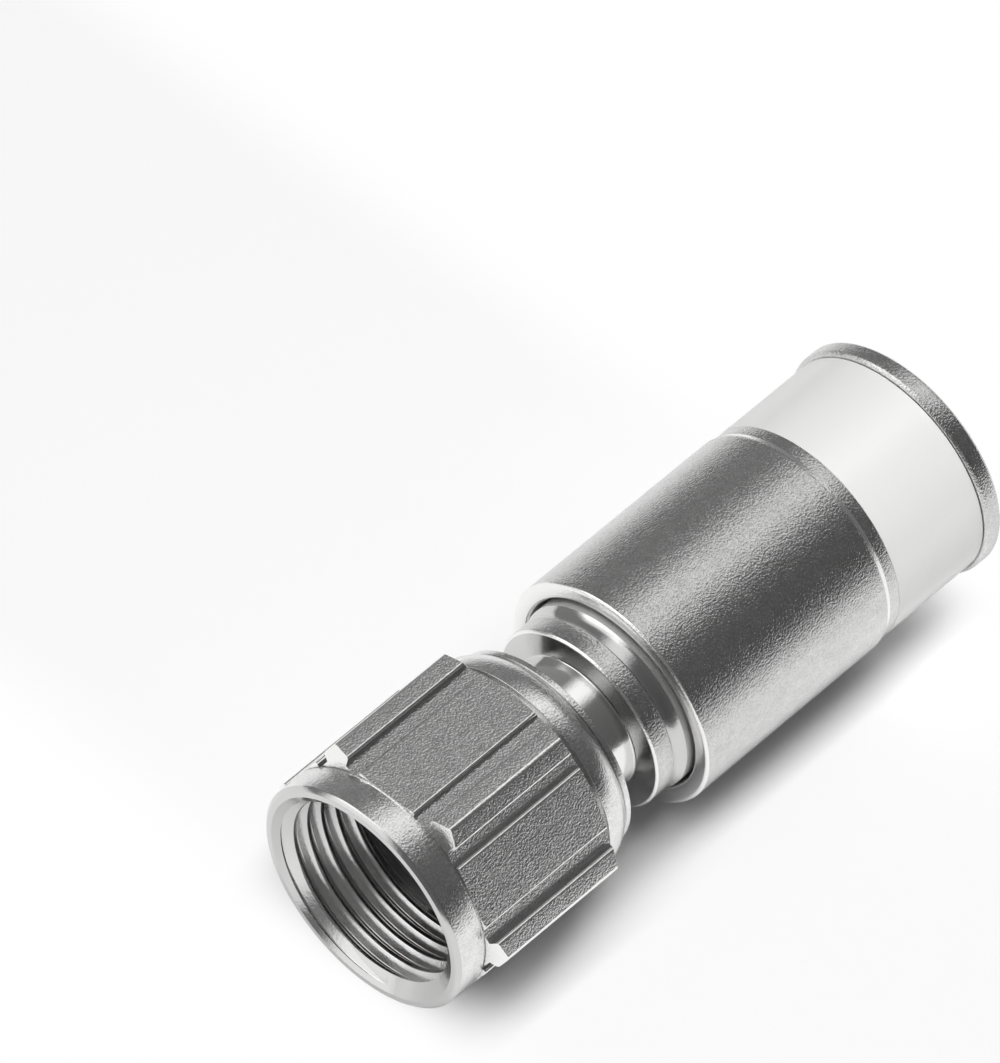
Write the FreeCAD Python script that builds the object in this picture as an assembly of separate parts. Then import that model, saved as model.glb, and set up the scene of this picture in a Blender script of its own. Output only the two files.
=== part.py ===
import FreeCAD, Part
import math
import os

# Compression F connector for coaxial cable: a captive coupling nut, a turned body with its inner
# post, and an outer sleeve that is pushed forward to grip the cable.
# Millimetres. The axis lies along X and the cable leaves towards +X. The pieces are drawn on the
# X axis with the nut's mouth at x = 0, and are then moved together, so that the origin is under the
# middle of the connector, on the surface that it lies on, with +Z up. It rests on the rib faces
# of the nut and on the rear ring.

# Fits
seat_gap = 0.01          # radial and axial, between pieces that are pressed together
running_gap = 0.05       # radial, nut on body and sleeve on body
nut_end_float = 0.1      # axial, each side of the nut's web
seal_gap = 0.14          # radial, seal ring round the post's flange

# Port thread, 3/8-32: 32 turns to the inch
thread_major_radius = 9.525 / 2
thread_pitch = 25.4 / 32
thread_height_share = 0.5413      # basic height of an internal thread, as a share of its pitch
thread_end = 4.2                  # depth of the threaded stretch, from the mouth

# Coupling nut
nut_across_flats = 11.0
mouth_flare = 0.21        # radial, from the thread's major diameter to the mouth's edge
mouth_chamfer_length = 0.5
front_edge_chamfer = 0.18
collar_length = 1.5
hex_length = 7.15
hex_chamfer_length = 0.42
panel_recess = 0.1       # panels lie this far below the rib faces
groove_depth = 0.28      # groove floors lie this far below the panels
panel_width = 3.02
rib_face_width = 0.9     # from the hexagon's corner, along one flat
relief_width = 0.3       # turned groove behind the hexagon
relief_depth = 0.35
skirt_radius = 5.24
skirt_length = 1.45
skirt_crown_place = 0.8   # along the skirt, where its curve is measured
skirt_crown_drop = 0.1    # how far the skirt has come in there
rim_radius = 4.78
rim_length = 0.26
rim_groove = 0.08
web_thickness = 1.1      # the nut's inward wall, held between flange and shoulder

# Seal ring in the nut
seal_wall = 0.86
seal_edge = 0.15

# Inner post
post_bore_radius = 2.0
post_wall = 0.35
flange_grip = 0.34        # radial, flange over the nut's web
flange_depth = 6.2       # from the nut's mouth to the flange's face
flange_thickness = 1.3
flange_chamfer = 0.45
post_reach = 0.6         # past the rear end of the body
barb_height = 0.4
barb_length = 1.3
barb_count = 2

# Connector body
neck_wall = 0.75
shoulder_height = 0.7
shoulder_length = 0.8
counterbore_gap = 0.15   # radial, nut's counterbore round the shoulder
neck_gap = 2.0           # bare neck between nut and collar
collar_drop = 0.12        # the collar lies this far inside the flare
body_collar_length = 0.95
body_collar_chamfer = 0.1
flare_drop = 0.1          # the flare lies this far inside the guide
flare_length = 0.55
guide_start = 0.75       # from the sleeve's lip to where the body starts to guide it
body_wall = 0.57
body_tube_length = 7.4   # from the lip to the body's rear end
cavity_taper = 0.6

# Compression sleeve
sleeve_wall = 0.78
lip_offset = 1.85        # from the body's front face to the sleeve's lip
lip_edge_chamfer = 0.15
lip_bore_chamfer = 0.1
sleeve_face_length = 10.7
step_bevel = 0.3
step_height = 0.1
step_land = 0.55
pressed_gap = 0.65        # left between nut and sleeve when the sleeve is pressed home

# Marking band
band_width = 5.1
band_wall = 0.32
band_edge = 0.05

# Rear bushing
ring_length = 0.9
ring_edge = 0.14
bushing_reach = 1.9      # how far the bushing goes into the sleeve
jacket_room = 0.75        # radial, between the post's barbs and the cable entry
entry_chamfer = 0.3

# Grip ferrule and cable seal
ferrule_nose_gap = 0.4   # from the body's rear end to the ferrule's nose, cable not yet gripped
ferrule_stop_gap = 0.2   # left between the ferrule's shoulder and the body at full stroke
ferrule_nose_wall = 0.4
ferrule_nose_clearance = 0.1
ferrule_tip_drop = 0.2
cable_seal_section = 0.53
cable_seal_gap = 0.02

# Sizes that follow from the ones above
thread_minor_radius = thread_major_radius - thread_height_share * thread_pitch
flat_apothem = nut_across_flats / 2
corner_radius = flat_apothem / math.cos(math.pi / 6)
panel_apothem = flat_apothem - panel_recess
floor_apothem = panel_apothem - groove_depth
collar_radius = panel_apothem
hex_end = collar_length + hex_length
skirt_start = hex_end + relief_width
skirt_end = skirt_start + skirt_length
nut_end = skirt_end + rim_length
flange_back = flange_depth + flange_thickness
web_front = flange_back + nut_end_float
web_back = web_front + web_thickness
shoulder_front = web_back + nut_end_float
mouth_radius = thread_major_radius + mouth_flare
post_radius = post_bore_radius + post_wall
neck_radius = post_radius + seat_gap + neck_wall
flange_radius = neck_radius + running_gap + flange_grip
seal_inner_radius = flange_radius + seal_gap
seal_outer_radius = seal_inner_radius + seal_wall
cable_entry_radius = post_radius + barb_height + jacket_room
shoulder_radius = neck_radius + shoulder_height
body_front = nut_end + neck_gap
lip = body_front + lip_offset
stroke = lip - nut_end - pressed_gap
nose_radius = cable_entry_radius + ferrule_nose_wall
body_bore_radius = nose_radius + ferrule_nose_clearance
guide_radius = body_bore_radius + body_wall
flare_radius = guide_radius - flare_drop
body_collar_radius = flare_radius - collar_drop
sleeve_bore_radius = guide_radius + running_gap
sleeve_radius = sleeve_bore_radius + sleeve_wall
body_end = lip + body_tube_length
post_end = body_end + post_reach
band_start = lip + sleeve_face_length + step_bevel + step_land
band_end = band_start + band_width
ring_front = band_end + 2 * seat_gap
rear_face = ring_front + ring_length
ring_radius = flat_apothem
band_radius = sleeve_radius - step_height
bushing_front = ring_front - bushing_reach
ferrule_front = body_end + ferrule_nose_gap
ferrule_shoulder = body_end + stroke + ferrule_stop_gap
ferrule_back = bushing_front - 2 * (cable_seal_section + cable_seal_gap)
to_origin = FreeCAD.Vector(-rear_face / 2, 0, ring_radius)


def at(x, r):
    return FreeCAD.Vector(x, 0, r)


# A solid turned about the X axis. Each step is (x, r) for a straight line, or
# (x of a middle point, r of it, x, r) for an arc.
def turned(start, *steps):
    edges = []
    here = at(*start)
    for step in steps + (start,):
        there = at(*step[-2:])
        if len(step) == 4:
            edges.append(Part.Arc(here, at(*step[:2]), there).toShape())
        else:
            edges.append(Part.makeLine(here, there))
        here = there
    face = Part.Face(Part.Wire(edges))
    return face.revolve(FreeCAD.Vector(0, 0, 0), FreeCAD.Vector(1, 0, 0), 360)


# A point of the nut's section: apothem is the distance from the axis to the flat that faces
# turn degrees from straight up, and along is the distance along that flat from its middle.
def on_flat(turn, apothem, along, x):
    angle = math.radians(turn)
    y = apothem * math.sin(angle) + along * math.cos(angle)
    z = apothem * math.cos(angle) - along * math.sin(angle)
    return FreeCAD.Vector(x, y, z)


# The hexagon with its corner ribs, grooves and recessed panels, as one extruded section.
def ribbed_prism(start, end):
    corner_along = flat_apothem * math.tan(math.pi / 6)
    rib_along = corner_along - rib_face_width
    panel_along = panel_width / 2
    flat_section = [
        (flat_apothem, -corner_along),
        (flat_apothem, -rib_along),
        (floor_apothem, -rib_along),
        (floor_apothem, -panel_along),
        (panel_apothem, -panel_along),
        (panel_apothem, panel_along),
        (floor_apothem, panel_along),
        (floor_apothem, rib_along),
        (flat_apothem, rib_along),
    ]
    corners = []
    for flat in range(6):
        for apothem, along in flat_section:
            corners.append(on_flat(60 * flat, apothem, along, start))
    corners.append(corners[0])
    face = Part.Face(Part.makePolygon(corners))
    return face.extrude(FreeCAD.Vector(end - start, 0, 0))


def coupling_nut():
    prism = ribbed_prism(collar_length, hex_end)
    chamfered = turned(
        (collar_length, 0),
        (collar_length, collar_radius),
        (collar_length + hex_chamfer_length, corner_radius),
        (hex_end - hex_chamfer_length, corner_radius),
        (hex_end, collar_radius),
        (hex_end, 0),
    )
    relief_radius = skirt_radius - relief_depth
    core = turned(
        (0, 0),
        (0, collar_radius - front_edge_chamfer),
        (front_edge_chamfer, collar_radius),
        (collar_length, collar_radius),
        (collar_length, relief_radius),
        (skirt_start, relief_radius),
        (skirt_start, skirt_radius),
        (
            skirt_start + skirt_crown_place,
            skirt_radius - skirt_crown_drop,
            skirt_end,
            rim_radius - rim_groove,
        ),
        (skirt_end, rim_radius),
        (nut_end, rim_radius),
        (nut_end, 0),
    )
    bore = turned(
        (0, 0),
        (0, mouth_radius),
        (mouth_chamfer_length, thread_minor_radius),
        (thread_end, thread_minor_radius),
        (thread_end, seal_outer_radius),
        (web_front, seal_outer_radius),
        (web_front, neck_radius + running_gap),
        (web_back, neck_radius + running_gap),
        (web_back, shoulder_radius + counterbore_gap),
        (nut_end, shoulder_radius + counterbore_gap),
        (nut_end, 0),
    )
    return prism.common(chamfered).fuse(core).cut(bore).removeSplitter()


def port_seal():
    front = thread_end + seat_gap
    back = web_front - seat_gap
    outer = seal_outer_radius - seat_gap
    return turned(
        (front, seal_inner_radius + seal_edge),
        (front, outer),
        (back, outer),
        (back, seal_inner_radius),
        (front + seal_edge, seal_inner_radius),
    )


def inner_post():
    steps = [
        (flange_depth, post_bore_radius),
        (flange_depth, flange_radius - flange_chamfer),
        (flange_depth + flange_chamfer / 2, flange_radius),
        (flange_back, flange_radius),
        (flange_back, post_radius),
    ]
    barbs_start = post_end - barb_count * barb_length
    steps.append((barbs_start, post_radius))
    for barb in range(barb_count):
        foot = barbs_start + barb * barb_length
        steps.append((foot, post_radius + barb_height))
        steps.append((foot + barb_length, post_radius))
    steps.append((post_end, post_bore_radius))
    return turned(*steps)


def connector_body():
    nose_bore = post_radius + seat_gap
    nose_front = flange_back + seat_gap
    shoulder_back = shoulder_front + shoulder_length
    collar_back = body_front + body_collar_length
    flare_end = collar_back + flare_length
    guide_front = lip + guide_start
    cavity_front = guide_front + cavity_taper
    return turned(
        (nose_front, nose_bore),
        (nose_front, neck_radius),
        (shoulder_front, neck_radius),
        (shoulder_front, shoulder_radius),
        (shoulder_back, shoulder_radius),
        (shoulder_back, neck_radius),
        (body_front, neck_radius),
        (body_front, body_collar_radius - body_collar_chamfer),
        (body_front + body_collar_chamfer, body_collar_radius),
        (collar_back, body_collar_radius),
        (flare_end, flare_radius),
        (guide_front, flare_radius),
        (guide_front + guide_radius - flare_radius, guide_radius),
        (body_end, guide_radius),
        (body_end, body_bore_radius),
        (cavity_front + cavity_taper, body_bore_radius),
        (cavity_front, nose_bore),
    )


def compression_sleeve():
    face_end = lip + sleeve_face_length
    recess_radius = band_radius - band_wall - seat_gap
    return turned(
        (lip, sleeve_bore_radius + lip_bore_chamfer),
        (lip, sleeve_radius - lip_edge_chamfer),
        (lip + lip_edge_chamfer / 2, sleeve_radius),
        (face_end, sleeve_radius),
        (face_end + step_bevel, band_radius),
        (band_start, band_radius),
        (band_start, recess_radius),
        (band_end + seat_gap, recess_radius),
        (band_end + seat_gap, sleeve_bore_radius),
        (lip + lip_bore_chamfer, sleeve_bore_radius),
    )


def marking_band():
    front = band_start + seat_gap
    inner = band_radius - band_wall
    return turned(
        (front, inner),
        (front, band_radius - band_edge),
        (front + band_edge, band_radius),
        (band_end - band_edge, band_radius),
        (band_end, band_radius - band_edge),
        (band_end, inner),
    )


def rear_bushing():
    tube_radius = sleeve_bore_radius - seat_gap
    return turned(
        (bushing_front, cable_entry_radius),
        (bushing_front, tube_radius),
        (ring_front, tube_radius),
        (ring_front, ring_radius - ring_edge),
        (ring_front + ring_edge, ring_radius),
        (rear_face - ring_edge, ring_radius),
        (rear_face, ring_radius - ring_edge),
        (rear_face, cable_entry_radius + entry_chamfer),
        (rear_face - entry_chamfer, cable_entry_radius),
    )


def grip_ferrule():
    outer = sleeve_bore_radius - seat_gap
    return turned(
        (ferrule_front, cable_entry_radius),
        (ferrule_front, nose_radius - ferrule_tip_drop),
        (ferrule_front + 2 * ferrule_tip_drop, nose_radius),
        (ferrule_shoulder, nose_radius),
        (ferrule_shoulder, outer),
        (ferrule_back, outer),
        (ferrule_back, cable_entry_radius),
    )


# The seal's round section is drawn with eight sides, and its corners lie on the circle.
def cable_seal():
    middle = (ferrule_back + bushing_front) / 2
    ring_middle = sleeve_bore_radius - cable_seal_gap - cable_seal_section
    section = []
    for corner in range(8):
        angle = math.radians(45 * corner)
        along = cable_seal_section * math.cos(angle)
        out = cable_seal_section * math.sin(angle)
        section.append((middle + along, ring_middle + out))
    return turned(*section)


pieces = {
    "coupling_nut": coupling_nut,
    "port_seal": port_seal,
    "inner_post": inner_post,
    "connector_body": connector_body,
    "compression_sleeve": compression_sleeve,
    "marking_band": marking_band,
    "rear_bushing": rear_bushing,
    "grip_ferrule": grip_ferrule,
    "cable_seal": cable_seal,
}

os.makedirs("parts", exist_ok=True)
for name, make in pieces.items():
    solid = make()
    solid.translate(to_origin)
    solid.exportStep("parts/" + name + ".step")
    print(name, round(solid.Volume, 2), "mm3", solid.isValid())
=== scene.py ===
import bpy
import bmesh
import math
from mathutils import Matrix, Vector


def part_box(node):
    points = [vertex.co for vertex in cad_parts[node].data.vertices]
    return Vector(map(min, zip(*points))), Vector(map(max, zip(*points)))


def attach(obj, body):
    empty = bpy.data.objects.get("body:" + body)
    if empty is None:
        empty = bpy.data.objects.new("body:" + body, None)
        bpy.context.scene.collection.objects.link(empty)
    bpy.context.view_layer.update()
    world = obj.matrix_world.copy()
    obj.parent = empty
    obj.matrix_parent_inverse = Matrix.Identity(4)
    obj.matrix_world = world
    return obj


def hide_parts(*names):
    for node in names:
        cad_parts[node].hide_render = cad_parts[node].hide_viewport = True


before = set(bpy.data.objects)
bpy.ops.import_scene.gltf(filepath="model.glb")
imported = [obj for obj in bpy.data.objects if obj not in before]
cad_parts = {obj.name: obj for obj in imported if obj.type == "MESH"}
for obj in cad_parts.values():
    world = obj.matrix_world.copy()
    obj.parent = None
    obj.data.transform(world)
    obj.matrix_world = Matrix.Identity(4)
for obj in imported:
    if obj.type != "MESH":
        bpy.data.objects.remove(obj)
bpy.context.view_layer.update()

mm = 0.001
nutLow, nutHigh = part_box("coupling_nut")
mouthX = nutLow.x                        # where the nut's mouth lies, in the frame
axisZ = (nutLow.z + nutHigh.z) / 2       # height of the connector's axis
turnSteps = 256                          # flats round a turned piece
arcSteps = 10                            # runs in an arc of an outline
easingSegments = 3                       # rounding of an eased corner or edge
mergeDistance = 0.0005                   # doubles this near are merged, in millimetres
sameSpot = 0.0001                        # places this near are one
toolOver = 0.2                           # how far a cutting tool stands past the piece
smoothAngle = math.radians(35)

# The pieces are modelled in millimetres on the X axis, with the nut's mouth at 0,
# and then brought into the frame together.


# Modelling helpers

def deselectAll():
    if bpy.context.object and bpy.context.object.mode != "OBJECT":
        bpy.ops.object.mode_set(mode="OBJECT")
    bpy.ops.object.select_all(action="DESELECT")


def activate(obj):
    deselectAll()
    obj.select_set(True)
    bpy.context.view_layer.objects.active = obj


def applyPlace(obj):
    activate(obj)
    bpy.ops.object.transform_apply(location=True, rotation=True, scale=True)


def applyModifier(obj, modifier):
    activate(obj)
    bpy.ops.object.modifier_apply(modifier=modifier.name)


def measured(node):
    # first and last place along the axis, and the radius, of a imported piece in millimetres
    low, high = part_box(node)
    return (low.x - mouthX) / mm, (high.x - mouthX) / mm, (high.z - low.z) / 2 / mm


def selectInEdit(obj, kind, test):
    # leaves only the vertices, edges or faces selected that pass the test
    bpy.ops.mesh.select_mode(type={"verts": "VERT", "edges": "EDGE", "faces": "FACE"}[kind])
    bpy.ops.mesh.select_all(action="DESELECT")
    mesh = bmesh.from_edit_mesh(obj.data)
    for item in getattr(mesh, kind):
        if test(item):
            item.select_set(True)
    mesh.select_flush_mode()
    bmesh.update_edit_mesh(obj.data)


def arcPoints(start, middle, end):
    # points of the arc through three places, without its start
    (ax, ay), (bx, by), (cx, cy) = start, middle, end
    d = 2 * (ax * (by - cy) + bx * (cy - ay) + cx * (ay - by))
    a2, b2, c2 = ax * ax + ay * ay, bx * bx + by * by, cx * cx + cy * cy
    centreX = (a2 * (by - cy) + b2 * (cy - ay) + c2 * (ay - by)) / d
    centreY = (a2 * (cx - bx) + b2 * (ax - cx) + c2 * (bx - ax)) / d
    radius = math.hypot(ax - centreX, ay - centreY)
    first = math.atan2(ay - centreY, ax - centreX)
    last = math.atan2(cy - centreY, cx - centreX)
    sweep = (last - first + math.pi) % (2 * math.pi) - math.pi
    return [
        (centreX + radius * math.cos(first + sweep * i / arcSteps),
         centreY + radius * math.sin(first + sweep * i / arcSteps))
        for i in range(1, arcSteps + 1)
    ]


def startOutline(name, along, radius):
    # a small plane merged to one vertex, left in edit mode, from which an outline is drawn
    deselectAll()
    bpy.ops.mesh.primitive_plane_add(size=0.1, location=(0, 0, 0))
    obj = bpy.context.object
    obj.name = name
    bpy.ops.object.mode_set(mode="EDIT")
    bpy.ops.mesh.select_mode(type="VERT")
    bpy.ops.mesh.select_all(action="SELECT")
    bpy.ops.mesh.merge(type="CENTER")
    bpy.ops.transform.translate(value=(along, 0, radius))
    return obj


def turned(name, outline, steps=turnSteps):
    # Each corner of the outline is (along the axis, radius) or (along, radius, easing).
    # The outline is drawn from one vertex, its corners are eased, and it is spun.
    obj = startOutline(name, *outline[0][:2])
    for here, there in zip(outline, outline[1:]):
        step = (there[0] - here[0], 0, there[1] - here[1])
        bpy.ops.mesh.extrude_region_move(TRANSFORM_OT_translate={"value": step})
    ends = [Vector((x, 0, r)) for x, r in (outline[0][:2], outline[-1][:2])]
    selectInEdit(obj, "verts", lambda v: any((v.co - end).length < sameSpot for end in ends))
    bpy.ops.mesh.edge_face_add()
    for easing in sorted({corner[2] for corner in outline if len(corner) > 2}):
        eased = [Vector((c[0], 0, c[1])) for c in outline if len(c) > 2 and c[2] == easing]
        selectInEdit(obj, "verts", lambda v: any((v.co - corner).length < sameSpot for corner in eased))
        bpy.ops.mesh.bevel(offset=easing, offset_type="OFFSET", segments=easingSegments, affect="VERTICES")
    bpy.ops.mesh.select_all(action="SELECT")
    bpy.ops.mesh.spin(steps=steps, angle=2 * math.pi, center=(0, 0, 0), axis=(1, 0, 0))
    bpy.ops.mesh.select_all(action="SELECT")
    bpy.ops.mesh.remove_doubles(threshold=mergeDistance)
    bpy.ops.mesh.normals_make_consistent(inside=False)
    bpy.ops.object.mode_set(mode="OBJECT")
    return obj


def combine(obj, tool, operation):
    activate(obj)
    modifier = obj.modifiers.new("combine", "BOOLEAN")
    modifier.operation = operation
    modifier.solver = "EXACT"
    modifier.object = tool
    applyModifier(obj, modifier)
    bpy.data.objects.remove(tool)
    return obj


def giveFinish(obj, material, test=lambda face: True):
    # the faces that pass the test get this material
    if material.name not in obj.data.materials:
        obj.data.materials.append(material)
    index = list(obj.data.materials).index(material)
    for face in obj.data.polygons:
        if test(face):
            face.material_index = index


def fromAxis(place):
    return math.hypot(place.y, place.z)


def bringIntoFrame(obj, body, nodes):
    obj.scale = (mm, mm, mm)
    obj.location = (mouthX, 0, axisZ)
    applyPlace(obj)
    bpy.ops.object.shade_smooth_by_angle(angle=smoothAngle)
    flatness = obj.modifiers.new("flatness", "WEIGHTED_NORMAL")    # keeps flats flat beside eased edges
    flatness.keep_sharp = True
    applyModifier(obj, flatness)
    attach(obj, body)
    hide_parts(*nodes)
    print("piece", obj.name, len(obj.data.polygons), "faces", len(obj.data.materials), "finishes")
    return obj


# Materials

def nodesOf(material):
    material.use_nodes = True
    tree = material.node_tree
    shader = tree.nodes["Principled BSDF"]
    return tree, shader


grainShare = 0.65                        # of the grain in the tone; the patches have the rest


def makeGrainGroup():
    # A plated surface under the lens: fine grain in the normal, and grain and patches in tone and gloss
    group = bpy.data.node_groups.new("platedGrain", "ShaderNodeTree")
    for label, start in (("Grain Size", 0.0001), ("Grain Height", 0.000004), ("Patch Size", 0.0006),
                         ("Roughness", 0.3), ("Roughness Spread", 0.1), ("Tone Spread", 0.1)):
        socket = group.interface.new_socket(label, in_out="INPUT", socket_type="NodeSocketFloat")
        socket.default_value = start
    group.interface.new_socket("Tone", in_out="OUTPUT", socket_type="NodeSocketFloat")
    group.interface.new_socket("Roughness", in_out="OUTPUT", socket_type="NodeSocketFloat")
    group.interface.new_socket("Normal", in_out="OUTPUT", socket_type="NodeSocketVector")
    nodes, links = group.nodes, group.links
    entry = nodes.new("NodeGroupInput")
    leave = nodes.new("NodeGroupOutput")
    place = nodes.new("ShaderNodeTexCoord")

    def noise(sizeLabel, detail, roughness):
        scale = nodes.new("ShaderNodeMath")
        scale.operation = "DIVIDE"
        scale.inputs[0].default_value = 1
        links.new(entry.outputs[sizeLabel], scale.inputs[1])
        texture = nodes.new("ShaderNodeTexNoise")
        texture.inputs["Detail"].default_value = detail
        texture.inputs["Roughness"].default_value = roughness
        links.new(place.outputs["Object"], texture.inputs["Vector"])
        links.new(scale.outputs[0], texture.inputs["Scale"])
        return texture.outputs["Fac"]

    def around(value, middle, spreadLabel):
        # middle plus the spread times how far the noise lies from its mean
        shifted = nodes.new("ShaderNodeMath")
        shifted.operation = "SUBTRACT"
        links.new(value, shifted.inputs[0])
        shifted.inputs[1].default_value = 0.5
        scaled = nodes.new("ShaderNodeMath")
        scaled.operation = "MULTIPLY_ADD"
        links.new(shifted.outputs[0], scaled.inputs[0])
        links.new(entry.outputs[spreadLabel], scaled.inputs[1])
        if isinstance(middle, (int, float)):
            scaled.inputs[2].default_value = middle
        else:
            links.new(middle, scaled.inputs[2])
        return scaled.outputs[0]

    grain = noise("Grain Size", 2.0, 0.6)
    patches = noise("Patch Size", 3.0, 0.6)
    mixed = nodes.new("ShaderNodeMath")
    mixed.operation = "MULTIPLY_ADD"
    links.new(patches, mixed.inputs[0])
    mixed.inputs[1].default_value = 1 - grainShare
    ofGrain = nodes.new("ShaderNodeMath")
    ofGrain.operation = "MULTIPLY"
    links.new(grain, ofGrain.inputs[0])
    ofGrain.inputs[1].default_value = grainShare
    links.new(ofGrain.outputs[0], mixed.inputs[2])
    bump = nodes.new("ShaderNodeBump")
    bump.inputs["Strength"].default_value = 1
    links.new(entry.outputs["Grain Height"], bump.inputs["Distance"])
    links.new(grain, bump.inputs["Height"])
    links.new(around(mixed.outputs[0], 1.0, "Tone Spread"), leave.inputs["Tone"])
    links.new(around(mixed.outputs[0], entry.outputs["Roughness"], "Roughness Spread"),
              leave.inputs["Roughness"])
    links.new(bump.outputs["Normal"], leave.inputs["Normal"])
    return group


grainGroup = makeGrainGroup()


# Lengths are in metres. The spreads say how far the noise moves the roughness and the tone.
nickelLooks = {
    "satinNickel": {                     # sleeve, the body's collar and the rear ring
        "Colour": (0.65, 0.65, 0.645), "Grain Size": 0.000095, "Grain Height": 0.000030,
        "Patch Size": 0.0005, "Roughness": 0.13, "Roughness Spread": 0.40, "Tone Spread": 1.00},
    "nutNickel": {
        "Colour": (0.80, 0.80, 0.795), "Grain Size": 0.000095, "Grain Height": 0.000020,
        "Patch Size": 0.0005, "Roughness": 0.15, "Roughness Spread": 0.40, "Tone Spread": 1.00},
    "turnedNickel": {                    # smooth turned faces
        "Colour": (0.66, 0.66, 0.655), "Grain Size": 0.00012, "Grain Height": 0.000003,
        "Patch Size": 0.0009, "Roughness": 0.16, "Roughness Spread": 0.12, "Tone Spread": 0.05},
    # neck: brighter than the turned plating, a painted highlight
    "neckHighlightNickel": {
        "Colour": (0.92, 0.92, 0.91), "Grain Size": 0.00012, "Grain Height": 0.000003,
        "Patch Size": 0.0009, "Roughness": 0.14, "Roughness Spread": 0.10, "Tone Spread": 0.05},
    "edgeHighlightNickel": {                      # eased edges and narrow chamfers, made brighter than the plating as painted highlight
        "Colour": (0.94, 0.94, 0.93), "Grain Size": 0.00012, "Grain Height": 0.000012,
        "Patch Size": 0.0003, "Roughness": 0.20, "Roughness Spread": 0.20, "Tone Spread": 0.10},
    "shadedWallNickel": {                      # walls of the hexagon's grooves, darkened as painted shade
        "Colour": (0.30, 0.30, 0.30), "Grain Size": 0.00012, "Grain Height": 0.000010,
        "Patch Size": 0.0003, "Roughness": 0.30, "Roughness Spread": 0.20, "Tone Spread": 0.20},
    "boreNickel": {                      # inside of the nut, with its thread
        "Colour": (0.76, 0.76, 0.755), "Grain Size": 0.00012, "Grain Height": 0.000006,
        "Patch Size": 0.0009, "Roughness": 0.20, "Roughness Spread": 0.15, "Tone Spread": 0.10},
    "gapNickel": {                       # both sides of the gap at the sleeve's lip
        "Colour": (0.75, 0.75, 0.745), "Grain Size": 0.00012, "Grain Height": 0.000006,
        "Patch Size": 0.0009, "Roughness": 0.55, "Roughness Spread": 0.15, "Tone Spread": 0.10},
}
plasticLooks = {
    "blackRubber": {
        "Colour": (0.02, 0.02, 0.021), "Grain Size": 0.00012, "Grain Height": 0.000002,
        "Patch Size": 0.0015, "Roughness": 0.42, "Roughness Spread": 0.1, "Tone Spread": 0.4},
    "whiteBand": {
        "Colour": (0.90, 0.90, 0.89), "Grain Size": 0.0003, "Grain Height": 0.000001,
        "Patch Size": 0.0015, "Roughness": 0.32, "Roughness Spread": 0.1, "Tone Spread": 0.03},
    "naturalPlastic": {
        "Colour": (0.78, 0.77, 0.72), "Grain Size": 0.0002, "Grain Height": 0.000002,
        "Patch Size": 0.0015, "Roughness": 0.4, "Roughness Spread": 0.1, "Tone Spread": 0.06},
}
coatLook = {"whiteBand": 0.3, "roughness": 0.08}


def grainedMaterial(name, look, metallic):
    material = bpy.data.materials.new(name)
    tree, shader = nodesOf(material)
    grain = tree.nodes.new("ShaderNodeGroup")
    grain.node_tree = grainGroup
    for label, value in look.items():
        if label != "Colour":
            grain.inputs[label].default_value = value
    tone = tree.nodes.new("ShaderNodeMix")
    tone.data_type = "RGBA"
    tone.blend_type = "MULTIPLY"
    tone.inputs["Factor"].default_value = 1
    tone.inputs[6].default_value = (*look["Colour"], 1)
    tree.links.new(grain.outputs["Tone"], tone.inputs[7])
    tree.links.new(tone.outputs[2], shader.inputs["Base Color"])
    tree.links.new(grain.outputs["Roughness"], shader.inputs["Roughness"])
    tree.links.new(grain.outputs["Normal"], shader.inputs["Normal"])
    shader.inputs["Metallic"].default_value = metallic
    return material


nickel = {name: grainedMaterial(name, look, 1) for name, look in nickelLooks.items()}
plastic = {name: grainedMaterial(name, look, 0) for name, look in plasticLooks.items()}
for name, material in plastic.items():
    shader = nodesOf(material)[1]
    shader.inputs["Coat Weight"].default_value = coatLook.get(name, 0)
    shader.inputs["Coat Roughness"].default_value = coatLook["roughness"]
print("materials made")


# Coupling nut

nutSizes = {
    "acrossFlats": 11.0,
    "front": {"radius": 5.4, "edge": 0.18, "mouth": 4.9725, "chamfer": 0.5},
    "hexStart": 1.54, "hexEnd": 8.65, "hexChamfer": 0.42, "hexTurnSteps": 190,
    "lineDepth": 0.1, "lineWidth": 0.08,     # turned line between the collar and the hexagon
    "panelRecess": 0.1, "grooveDepth": 0.28, "panelWidth": 3.02, "ribFace": 0.9,
    "relief": 4.89, "skirtStart": 8.95, "skirtRadius": 5.24, "skirtEnd": 10.4,
    "skirtMiddle": (9.75, 5.14), "skirtFoot": 4.70,
    "rim": 4.78, "nutEnd": 10.66,
    "edge": 0.12, "turnedEdge": 0.03,        # easing of the hexagon's edges, and of the turned ones
    "envelopeBore": 0.8, "blankBore": 1,     # small holes in what the nut is made of, cut away later
    "envelopeOver": 0.6,                     # how far the envelope stands past the hexagon's corners
}
nutBore = {
    "slope": (4.9725 - 4.3328) / 0.5,
    "seatFront": 4.2, "seat": 4.5, "webFront": 7.6, "webBack": 8.7, "web": 3.16, "counterbore": 3.96,
    "tool": 0.5,                             # hole in the boring tool
    "coneNormal": (-0.83, -0.74),            # the cone's lies between these, and the thread's flanks' outside
}
threadSizes = {
    "major": 9.525 / 2, "pitch": 25.4 / 32, "share": 0.5413, "end": 4.05, "bore": 4.30,
    "start": 0.14,                           # where the crest lies along the axis, straight up
    "rounding": 0.03, "turns": 9, "steps": 192,
}


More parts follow.
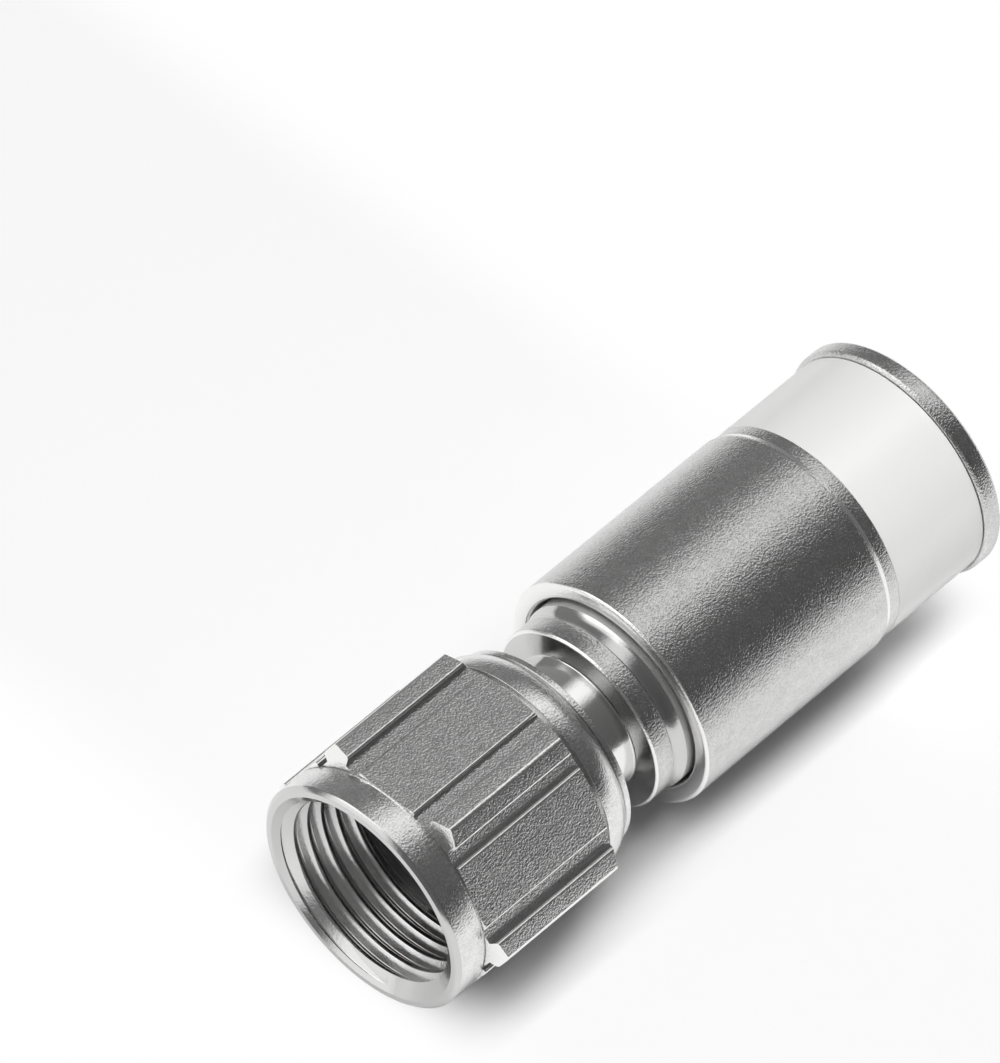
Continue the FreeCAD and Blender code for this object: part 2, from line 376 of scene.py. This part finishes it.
def hexWithRibs():
    s = nutSizes
    apothem = s["acrossFlats"] / 2
    cornerRadius = apothem / math.cos(math.pi / 6)
    ribAlong = apothem * math.tan(math.pi / 6) - s["ribFace"]
    panelAlong = s["panelWidth"] / 2
    panelApothem = apothem - s["panelRecess"]
    middle = (s["hexStart"] + s["hexEnd"]) / 2
    deselectAll()
    bpy.ops.mesh.primitive_cylinder_add(vertices=6, radius=cornerRadius,
                                        depth=s["hexEnd"] - s["hexStart"] + 1,
                                        location=(middle, 0, 0), rotation=(0, math.pi / 2, 0))
    prism = bpy.context.object
    prism.name = "coupling_nut_visual"
    applyPlace(prism)

    # one cutter for a flat: a shallow slab for the panel, with a deeper strip along each side of it
    bpy.ops.mesh.primitive_cube_add(size=1, location=(middle, 0, panelApothem + 0.5))
    cutter = bpy.context.object
    cutter.scale = (s["hexEnd"] - s["hexStart"] + 2, 2 * ribAlong, 1)
    applyPlace(cutter)
    bpy.ops.object.mode_set(mode="EDIT")
    for along in (-panelAlong, panelAlong):
        bpy.ops.mesh.select_all(action="SELECT")
        bpy.ops.mesh.bisect(plane_co=(0, along, 0), plane_no=(0, 1, 0))
    selectInEdit(cutter, "faces", lambda f: f.normal.z < -0.9 and abs(f.calc_center_median().y) > panelAlong)
    bpy.ops.mesh.extrude_region_move(TRANSFORM_OT_translate={"value": (0, 0, -s["grooveDepth"])})
    bpy.ops.object.mode_set(mode="OBJECT")
    for flat in range(6):
        activate(cutter)
        bpy.ops.object.duplicate()
        oneCutter = bpy.context.object
        oneCutter.rotation_euler = (math.radians(60 * flat), 0, 0)
        applyPlace(oneCutter)
        combine(prism, oneCutter, "DIFFERENCE")
    bpy.data.objects.remove(cutter)
    giveFinish(prism, nickel["nutNickel"])
    prism.data.materials.append(nickel["edgeHighlightNickel"])
    activate(prism)
    bpy.ops.object.mode_set(mode="EDIT")
    bpy.ops.mesh.select_all(action="SELECT")
    bpy.ops.mesh.remove_doubles(threshold=0.002)
    bpy.ops.mesh.dissolve_limited(angle_limit=math.radians(1))
    bpy.ops.object.mode_set(mode="OBJECT")
    # by each face's direction round the axis, from the nearest flat's: it is 30 degrees on a groove's wall,
    # which gets the dark nickel as painted shade
    giveFinish(prism, nickel["shadedWallNickel"], lambda face: abs(face.normal.x) < 0.3
               and abs(math.degrees(math.atan2(face.normal.y, face.normal.z)) % 60 - 30) < 5)
    bpy.ops.object.mode_set(mode="EDIT")
    selectInEdit(prism, "edges", lambda e: e.is_convex and e.calc_face_angle(0) > math.radians(25)
                 and abs(e.verts[0].co.x - e.verts[1].co.x) > 1)
    # the eased edges get material 1, the brighter edge nickel, as painted highlight lines
    bpy.ops.mesh.bevel(offset=s["edge"], offset_type="OFFSET", segments=easingSegments, affect="EDGES",
                       clamp_overlap=False, material=1)
    bpy.ops.object.mode_set(mode="OBJECT")

    # the turned chamfers at both ends of the hexagon
    slope = (cornerRadius - s["front"]["radius"]) / s["hexChamfer"]
    frontStart = s["front"]["radius"] + slope * s["lineWidth"] / 2
    backStart = s["front"]["radius"] - s["turnedEdge"]
    far = cornerRadius + s["envelopeOver"]
    envelope = turned("hex_envelope", [
        (s["hexStart"], s["envelopeBore"]), (s["hexStart"], frontStart),
        (s["hexStart"] + (far - frontStart) / slope, far),
        (s["hexEnd"] - (far - backStart) / slope, far), (s["hexEnd"], backStart),
        (s["hexEnd"], s["envelopeBore"]),
    ], s["hexTurnSteps"])
    combine(prism, envelope, "INTERSECT")
    # the hexagon's end chamfers get the brighter edge nickel, a painted highlight
    giveFinish(prism, nickel["edgeHighlightNickel"], lambda face: abs(face.normal.x) > 0.3)
    return prism


def threadTap():
    t = threadSizes
    pitch = t["pitch"]
    minor = t["major"] - t["share"] * pitch
    flank = t["share"] * pitch * math.tan(math.radians(30))
    firstX, lastX = t["start"] - 2 * pitch, t["start"] - pitch
    tap = startOutline("thread_tap", firstX, minor)
    for along, rise in ((pitch / 8, 0), (flank, t["major"] - minor), (pitch / 8, 0),
                        (flank, minor - t["major"]), (pitch / 8, 0)):
        bpy.ops.mesh.extrude_region_move(TRANSFORM_OT_translate={"value": (along, 0, rise)})
    selectInEdit(tap, "verts", lambda v: firstX + 0.01 < v.co.x < lastX - 0.01)
    bpy.ops.mesh.bevel(offset=t["rounding"], offset_type="OFFSET", segments=2, affect="VERTICES")
    bpy.ops.object.mode_set(mode="OBJECT")
    turns = tap.modifiers.new("turns", "SCREW")
    turns.axis = "X"
    turns.screw_offset = pitch
    turns.iterations = t["turns"]
    turns.steps = turns.render_steps = t["steps"]
    turns.use_merge_vertices = True
    turns.merge_threshold = mergeDistance
    applyModifier(tap, turns)
    bpy.ops.object.mode_set(mode="EDIT")
    bpy.ops.mesh.select_all(action="SELECT")
    bpy.ops.mesh.remove_doubles(threshold=mergeDistance)
    bpy.ops.mesh.select_all(action="SELECT")
    bpy.ops.mesh.bisect(plane_co=(-toolOver, 0, 0), plane_no=(1, 0, 0), clear_inner=True, use_fill=True)
    bpy.ops.mesh.select_all(action="SELECT")
    bpy.ops.mesh.bisect(plane_co=(t["end"], 0, 0), plane_no=(1, 0, 0), clear_outer=True, use_fill=True)
    bpy.ops.mesh.select_all(action="SELECT")
    bpy.ops.mesh.normals_make_consistent(inside=False)
    bpy.ops.object.mode_set(mode="OBJECT")
    return tap


def makeNut():
    s = nutSizes
    nut = hexWithRibs()
    easing = s["turnedEdge"]
    radius, edge = s["front"]["radius"], s["front"]["edge"]
    lineFloor, lineFront = radius - s["lineDepth"], s["hexStart"] - s["lineWidth"]
    skirt = arcPoints((s["skirtStart"], s["skirtRadius"]), s["skirtMiddle"], (s["skirtEnd"], s["skirtFoot"]))
    core = turned("nut_core", [
        (0, s["blankBore"]), (0, radius - edge, easing), (edge, radius, easing), (lineFront, radius, easing),
        (lineFront, lineFloor), (s["hexStart"] + 1, lineFloor), (s["hexStart"] + 1, s["relief"]),
        (s["skirtStart"], s["relief"]), (s["skirtStart"], s["skirtRadius"], easing), *skirt,
        (s["skirtEnd"], s["rim"], easing), (s["nutEnd"], s["rim"], easing), (s["nutEnd"], s["blankBore"]),
    ])
    combine(nut, core, "UNION")
    print("nut blank", len(nut.data.polygons))

    bore = nutBore
    tool = turned("nut_bore", [
        (-toolOver, bore["tool"]), (-toolOver, s["front"]["mouth"] + toolOver * bore["slope"]),
        (s["front"]["chamfer"], threadSizes["bore"]), (bore["seatFront"], threadSizes["bore"]),
        (bore["seatFront"], bore["seat"]), (bore["webFront"], bore["seat"]),
        (bore["webFront"], bore["web"]), (bore["webBack"], bore["web"]),
        (bore["webBack"], bore["counterbore"]), (s["nutEnd"] + toolOver, bore["counterbore"]),
        (s["nutEnd"] + toolOver, bore["tool"]),
    ])
    tool.rotation_euler = (math.pi / turnSteps, 0, 0)      # so that its flats lie across the blank's
    applyPlace(tool)
    combine(nut, tool, "DIFFERENCE")
    combine(nut, threadTap(), "DIFFERENCE")
    giveFinish(nut, nickel["turnedNickel"], lambda face: face.center.x < edge + easing / 2)
    giveFinish(nut, nickel["boreNickel"], lambda face: fromAxis(face.center) < s["front"]["mouth"]
               and face.center.x < s["skirtEnd"])
    giveFinish(nut, nickel["turnedNickel"], lambda face: face.center.x < s["front"]["chamfer"]
               and bore["coneNormal"][0] < face.normal.x < bore["coneNormal"][1])
    return bringIntoFrame(nut, "nut", ["coupling_nut"])


nut = makeNut()


# Seal ring in the nut, and the inner post with its flange

sealSizes = {"inner": 3.64, "edge": 0.15, "easing": 0.06}
postSizes = {
    "bore": 2.0, "tube": 2.35, "flange": 3.5, "face": 6.2, "back": 7.5, "chamfer": 0.45,
    "barbHeight": 0.4, "barbLength": 1.3, "barbs": 2,
}


def makeSeal():
    s = sealSizes
    front, back, radius = measured("port_seal")
    ring = turned("port_seal_visual", [
        (front, s["inner"] + s["edge"], 0.03), (front, radius, s["easing"]),
        (back, radius, s["easing"]), (back, s["inner"], s["easing"]),
        (front + s["edge"], s["inner"], 0.03),
    ])
    giveFinish(ring, plastic["blackRubber"])
    return bringIntoFrame(ring, "nut", ["port_seal"])


def makePost():
    s = postSizes
    back = measured("inner_post")[1]
    outline = [
        (s["face"], s["bore"], 0.04), (s["face"], s["flange"] - s["chamfer"], 0.05),
        (s["face"] + s["chamfer"] / 2, s["flange"], 0.05), (s["back"], s["flange"], 0.03),
        (s["back"], s["tube"]),
    ]
    barbsStart = back - s["barbs"] * s["barbLength"]
    outline.append((barbsStart, s["tube"]))
    for barb in range(s["barbs"]):
        foot = barbsStart + barb * s["barbLength"]
        outline.append((foot, s["tube"] + s["barbHeight"], 0.03))
        outline.append((foot + s["barbLength"], s["tube"]))
    outline.append((back, s["bore"]))
    post = turned("inner_post_visual", outline)
    giveFinish(post, nickel["turnedNickel"])
    return bringIntoFrame(post, "body", ["inner_post"])


# Connector body

bodySizes = {
    "noseBore": 2.36, "neck": 3.11, "shoulder": 3.81, "shoulderFront": 8.8, "shoulderBack": 9.6,
    "collarFront": 12.66, "collar": 4.35, "collarBack": 13.61, "collarEdge": 0.1, "fillet": 0.1,
    "flareStart": (13.68, 4.28), "flareMiddle": (14.02, 4.32), "flareEnd": 14.28, "flare": 4.47,
    "guideFront": 15.26, "guide": 4.57, "bore": 4.0, "taper": 0.6,
}


def makeBody():
    s = bodySizes
    front, back = measured("connector_body")[:2]
    flare = arcPoints(s["flareStart"], s["flareMiddle"], (s["flareEnd"], s["flare"]))
    cavityFront = s["guideFront"] + s["taper"]
    body = turned("connector_body_visual", [
        (front, s["noseBore"]), (front, s["neck"], 0.05), (s["shoulderFront"], s["neck"]),
        (s["shoulderFront"], s["shoulder"], 0.05), (s["shoulderBack"], s["shoulder"], 0.05),
        (s["shoulderBack"], s["neck"]), (s["collarFront"], s["neck"], s["fillet"]),
        (s["collarFront"], s["collar"] - s["collarEdge"], 0.03),
        (s["collarFront"] + s["collarEdge"], s["collar"], 0.03),
        (s["collarBack"], s["collar"], 0.03), s["flareStart"], *flare, (s["guideFront"], s["flare"]),
        (s["guideFront"] + s["guide"] - s["flare"], s["guide"]), (back, s["guide"], 0.05),
        (back, s["bore"], 0.05), (cavityFront + s["taper"], s["bore"]), (cavityFront, s["noseBore"]),
    ])
    giveFinish(body, nickel["turnedNickel"])
    chamferEnd = s["collarFront"] + s["collarEdge"]
    # the neck gets the brighter nickel, a painted highlight
    giveFinish(body, nickel["neckHighlightNickel"], lambda face: fromAxis(face.center) < s["neck"] + 0.02
               and s["shoulderBack"] < face.center.x < s["collarFront"] - 0.05)
    # the collar's front chamfer gets the brighter edge nickel, a painted highlight
    giveFinish(body, nickel["edgeHighlightNickel"],
               lambda face: s["collarFront"] + 0.001 < face.center.x < chamferEnd)
    giveFinish(body, nickel["satinNickel"], lambda face: chamferEnd < face.center.x < s["collarBack"]
               and fromAxis(face.center) > s["collar"] - 0.15)
    giveFinish(body, nickel["gapNickel"], lambda face: s["flareEnd"] + 0.1 < face.center.x < s["guideFront"]
               and fromAxis(face.center) > s["bore"])
    return bringIntoFrame(body, "body", ["connector_body"])


# Compression sleeve, marking band and rear bushing

sleeveSizes = {
    "bore": 4.62, "lipEdge": 0.15, "lipBore": 0.1, "faceEnd": 25.21, "bevel": 0.3, "step": 0.1,
    "bandStart": 26.06, "recess": 4.97,
}
bandSizes = {"inner": 4.98, "edge": 0.05}
bushingSizes = {"ringFront": 31.18, "entry": 3.5, "tube": 4.61, "edge": 0.14, "entryChamfer": 0.3}


def makeSleeve():
    s = sleeveSizes
    front, back, radius = measured("compression_sleeve")
    band = radius - s["step"]
    sleeve = turned("compression_sleeve_visual", [
        (front, s["bore"] + s["lipBore"], 0.03), (front, radius - s["lipEdge"], 0.03),
        (front + s["lipEdge"] / 2, radius, 0.07), (s["faceEnd"], radius, 0.07),
        (s["faceEnd"] + s["bevel"], band, 0.04), (s["bandStart"], band, 0.03),
        (s["bandStart"], s["recess"]), (back, s["recess"]), (back, s["bore"]),
        (front + s["lipBore"], s["bore"], 0.03),
    ])
    giveFinish(sleeve, nickel["satinNickel"])
    # the lip's edge and the rear bevel get the brighter edge nickel, a painted highlight
    giveFinish(sleeve, nickel["edgeHighlightNickel"], lambda face: face.center.x < front + s["lipEdge"] / 2 + 0.03
               or s["faceEnd"] + 0.08 < face.center.x < s["faceEnd"] + s["bevel"])
    giveFinish(sleeve, nickel["gapNickel"], lambda face: fromAxis(face.center) < s["bore"] + 0.01)
    return bringIntoFrame(sleeve, "sleeve", ["compression_sleeve"])


def makeBand():
    front, back, radius = measured("marking_band")
    inner = bandSizes["inner"]
    band = turned("marking_band_visual", [
        (front, inner), (front, radius, bandSizes["edge"]), (back, radius, bandSizes["edge"]), (back, inner),
    ])
    giveFinish(band, plastic["whiteBand"])
    return bringIntoFrame(band, "sleeve", ["marking_band"])


def makeBushing():
    s = bushingSizes
    front, back, radius = measured("rear_bushing")
    bushing = turned("rear_bushing_visual", [
        (front, s["entry"]), (front, s["tube"]), (s["ringFront"], s["tube"]),
        (s["ringFront"], radius - s["edge"], 0.03), (s["ringFront"] + s["edge"], radius, 0.05),
        (back - s["edge"], radius, 0.05), (back, radius - s["edge"], 0.03),
        (back, s["entry"] + s["entryChamfer"], 0.05), (back - s["entryChamfer"], s["entry"], 0.05),
    ])
    giveFinish(bushing, nickel["turnedNickel"])
    giveFinish(bushing, nickel["satinNickel"], lambda face: fromAxis(face.center) > s["tube"])
    return bringIntoFrame(bushing, "sleeve", ["rear_bushing"])


# Plastic grip ferrule and the cable's O-ring, inside the sleeve

ferruleSizes = {"bore": 3.5, "nose": 3.9, "tipDrop": 0.2, "shoulder": 25.31}
ringSizes = {"section": 0.53}


def makeFerrule():
    s = ferruleSizes
    front, back, radius = measured("grip_ferrule")
    ferrule = turned("grip_ferrule_visual", [
        (front, s["bore"], 0.05), (front, s["nose"] - s["tipDrop"], 0.05),
        (front + 2 * s["tipDrop"], s["nose"], 0.05), (s["shoulder"], s["nose"]),
        (s["shoulder"], radius, 0.05), (back, radius), (back, s["bore"], 0.05),
    ])
    giveFinish(ferrule, plastic["naturalPlastic"])
    return bringIntoFrame(ferrule, "sleeve", ["grip_ferrule"])


def makeCableSeal():
    front, back, radius = measured("cable_seal")
    section = ringSizes["section"]
    middle, ringRadius = (front + back) / 2, radius - section
    deselectAll()
    bpy.ops.mesh.primitive_torus_add(major_radius=ringRadius, minor_radius=section, major_segments=128,
                                     minor_segments=24, location=(middle, 0, 0), rotation=(0, math.pi / 2, 0))
    ring = bpy.context.object
    ring.name = "cable_seal_visual"
    applyPlace(ring)
    giveFinish(ring, plastic["blackRubber"])
    return bringIntoFrame(ring, "sleeve", ["cable_seal"])


seal = makeSeal()
post = makePost()
body = makeBody()
sleeve = makeSleeve()
band = makeBand()
bushing = makeBushing()
ferrule = makeFerrule()
cableSeal = makeCableSeal()
print("pieces made")


# Floor, world, lamp and camera

floorLook = {
    "size": 6, "drop": 0.00002,
    "colour": (0.95, 0.95, 0.95), "glow": 0.045, "glowColour": (1.0, 0.96, 1.0),
    "mirrored": 0.12, "edge": 0.012,                     # the metal sees a white table of this radius
    "middle": (0, 0.072, 0), "beyond": 0.14,             # and past it a dim floor
    "cleared": (0.0120, 0.0168),                         # the shadow fades out between these, to each side
}
worldLook = {
    "level": 0.170, "slopeY": 0.08,                      # as the metal mirrors it, a little lighter behind
    "soft": 0.06,                                        # as it lights the floor and the plastic
    "cards": [                                           # soft-edged lighter patches that the metal mirrors
        {"axis": (0.208, 0.03, 0.978), "across": 0.28, "along": 1.15, "soft": 0.18, "level": 0.84},
        {"axis": (-0.466, 0.50, 0.73), "across": 0.42, "along": 0.30, "soft": 0.15, "level": 0.9},
        {"axis": (-0.80, 0.46, 0.38), "across": 0.5, "along": 0.5, "soft": 0.15, "level": 0.9},
    ],
}
lampLook = {                                             # its angles from straight above, in degrees
    "angleX": -20, "angleY": -10.5, "distance": 0.9, "size": (4.0, 0.34), "level": 2.88, "mirrored": False,
}
cameraLook = {
    "lens": 406.4, "sensor": 36, "clip": (0.01, 20),
    "place": (-0.225805, -0.206285, 0.381911), "turn": (39.765, 0, -46.56),
}


def mathNode(tree, operation, first, second=None):
    node = tree.nodes.new("ShaderNodeMath")
    node.operation = operation
    for socket, value in zip(node.inputs, (first, second)):
        if isinstance(value, (int, float)):
            socket.default_value = value
        elif value is not None:
            tree.links.new(value, socket)
    return node.outputs[0]


def dotNode(tree, value, vector):
    node = tree.nodes.new("ShaderNodeVectorMath")
    node.operation = "DOT_PRODUCT"
    tree.links.new(value, node.inputs[0])
    node.inputs[1].default_value = vector
    return node.outputs["Value"]


def mapRange(tree, value, low, high, outLow, outHigh):
    node = tree.nodes.new("ShaderNodeMapRange")
    node.interpolation_type = "SMOOTHSTEP"
    tree.links.new(value, node.inputs["Value"])
    for label, number in (("From Min", low), ("From Max", high), ("To Min", outLow), ("To Max", outHigh)):
        node.inputs[label].default_value = number
    return node.outputs["Result"]


def makeFloor():
    deselectAll()
    look = floorLook
    bpy.ops.mesh.primitive_plane_add(size=look["size"], location=(0, 0, -look["drop"]))
    floor = bpy.context.object
    floor.name = "floor"
    material = bpy.data.materials.new("floorWhite")
    tree, shader = nodesOf(material)
    place = tree.nodes.new("ShaderNodeTexCoord")
    length = tree.nodes.new("ShaderNodeVectorMath")
    length.operation = "DISTANCE"
    tree.links.new(place.outputs["Object"], length.inputs[0])
    length.inputs[1].default_value = look["middle"]
    near = mapRange(tree, length.outputs["Value"], look["mirrored"] - look["edge"],
                    look["mirrored"] + look["edge"], 1, 0)
    path = tree.nodes.new("ShaderNodeLightPath")
    # seen in the metal by the camera it is white near the connector, and by the floor itself it is dim
    outside = mathNode(tree, "MAXIMUM", mathNode(tree, "SUBTRACT", 1, near),
                       mathNode(tree, "MINIMUM", path.outputs["Diffuse Depth"], 1))
    far = mathNode(tree, "MULTIPLY", path.outputs["Is Glossy Ray"], outside)
    colour = tree.nodes.new("ShaderNodeMix")
    colour.data_type = "RGBA"
    tree.links.new(far, colour.inputs["Factor"])
    colour.inputs[6].default_value = (*look["colour"], 1)
    colour.inputs[7].default_value = (look["beyond"], look["beyond"], look["beyond"], 1)
    tree.links.new(colour.outputs[2], shader.inputs["Base Color"])
    shader.inputs["Roughness"].default_value = 1
    shader.inputs["Specular IOR Level"].default_value = 0
    seen = mathNode(tree, "MAXIMUM", path.outputs["Is Camera Ray"],
                    mathNode(tree, "MULTIPLY", path.outputs["Is Glossy Ray"], near))
    glow = tree.nodes.new("ShaderNodeEmission")
    glow.inputs["Color"].default_value = (*look["glowColour"], 1)
    tree.links.new(mathNode(tree, "MULTIPLY", seen, look["glow"]), glow.inputs["Strength"])
    both = tree.nodes.new("ShaderNodeAddShader")
    tree.links.new(shader.outputs[0], both.inputs[0])
    tree.links.new(glow.outputs[0], both.inputs[1])
    # past the connector's ends the camera sees plain white, as on a cleared ground
    split = tree.nodes.new("ShaderNodeSeparateXYZ")
    tree.links.new(place.outputs["Object"], split.inputs[0])
    cleared = mapRange(tree, mathNode(tree, "ABSOLUTE", split.outputs["X"]), *look["cleared"], 0, 1)
    white = tree.nodes.new("ShaderNodeEmission")
    white.inputs["Strength"].default_value = 1
    surface = tree.nodes.new("ShaderNodeMixShader")
    tree.links.new(mathNode(tree, "MULTIPLY", cleared, path.outputs["Is Camera Ray"]), surface.inputs["Fac"])
    tree.links.new(both.outputs[0], surface.inputs[1])
    tree.links.new(white.outputs[0], surface.inputs[2])
    tree.links.new(surface.outputs[0], tree.nodes["Material Output"].inputs["Surface"])
    floor.data.materials.append(material)
    return floor


def makeWorld():
    look = worldLook
    world = bpy.data.worlds.new("studio")
    bpy.context.scene.world = world
    world.use_nodes = True
    tree = world.node_tree
    background = tree.nodes["Background"]
    place = tree.nodes.new("ShaderNodeTexCoord")
    split = tree.nodes.new("ShaderNodeSeparateXYZ")
    tree.links.new(place.outputs["Generated"], split.inputs[0])
    sloped = mathNode(tree, "MULTIPLY", split.outputs["Y"], look["slopeY"])
    mirrored = mathNode(tree, "ADD", sloped, look["level"])
    for card in look["cards"]:
        axis = Vector(card["axis"]).normalized()
        across = (Vector((0, 1, 0)) - axis.y * axis).normalized()
        towards = mathNode(tree, "MAXIMUM", dotNode(tree, place.outputs["Generated"], axis), 0.001)
        for side, half in ((across, card["across"]), (axis.cross(across), card["along"])):
            aside = mathNode(tree, "ABSOLUTE", dotNode(tree, place.outputs["Generated"], side))
            inside = mapRange(tree, mathNode(tree, "DIVIDE", aside, towards),
                              half - card["soft"], half + card["soft"], 1, 0)
            patch = inside if side is across else mathNode(tree, "MULTIPLY", patch, inside)
        mirrored = mathNode(tree, "ADD", mirrored, mathNode(tree, "MULTIPLY", patch, card["level"]))
    path = tree.nodes.new("ShaderNodeLightPath")
    inMetal = mathNode(tree, "MULTIPLY", path.outputs["Is Glossy Ray"],
                       mathNode(tree, "SUBTRACT", mirrored, look["soft"]))
    level = mathNode(tree, "MAXIMUM", mathNode(tree, "ADD", inMetal, look["soft"]),
                     path.outputs["Is Camera Ray"])
    tree.links.new(level, background.inputs["Color"])
    background.inputs["Strength"].default_value = 1
    return world


def addLamp():
    look = lampLook
    lamp = bpy.data.lights.new("key", "AREA")
    lamp.shape = "RECTANGLE"
    lamp.size, lamp.size_y = look["size"]
    # so the level is that of a white card below the lamp, were it small
    lamp.energy = look["level"] * math.pi ** 2 * look["distance"] ** 2
    obj = bpy.data.objects.new("key", lamp)
    bpy.context.scene.collection.objects.link(obj)
    tiltX, tiltY = math.radians(look["angleX"]), math.radians(look["angleY"])
    towards = Vector((math.sin(tiltX), math.cos(tiltX) * math.sin(tiltY),
                      math.cos(tiltX) * math.cos(tiltY)))
    obj.location = Vector((0, 0, axisZ)) + look["distance"] * towards
    obj.rotation_euler = (-math.asin(towards.y), math.atan2(towards.x, towards.z), 0)
    obj.visible_glossy = look["mirrored"]
    return obj


def makeCamera():
    look = cameraLook
    camera = bpy.data.cameras.new("camera")
    camera.lens = look["lens"]
    camera.sensor_width = look["sensor"]
    camera.sensor_fit = "AUTO"
    camera.clip_start, camera.clip_end = look["clip"]
    obj = bpy.data.objects.new("camera", camera)
    bpy.context.scene.collection.objects.link(obj)
    obj.location = look["place"]
    obj.rotation_euler = [math.radians(angle) for angle in look["turn"]]
    bpy.context.scene.camera = obj
    return obj


makeFloor()
makeWorld()
addLamp()
makeCamera()
bpy.context.scene.view_settings.view_transform = "Standard"
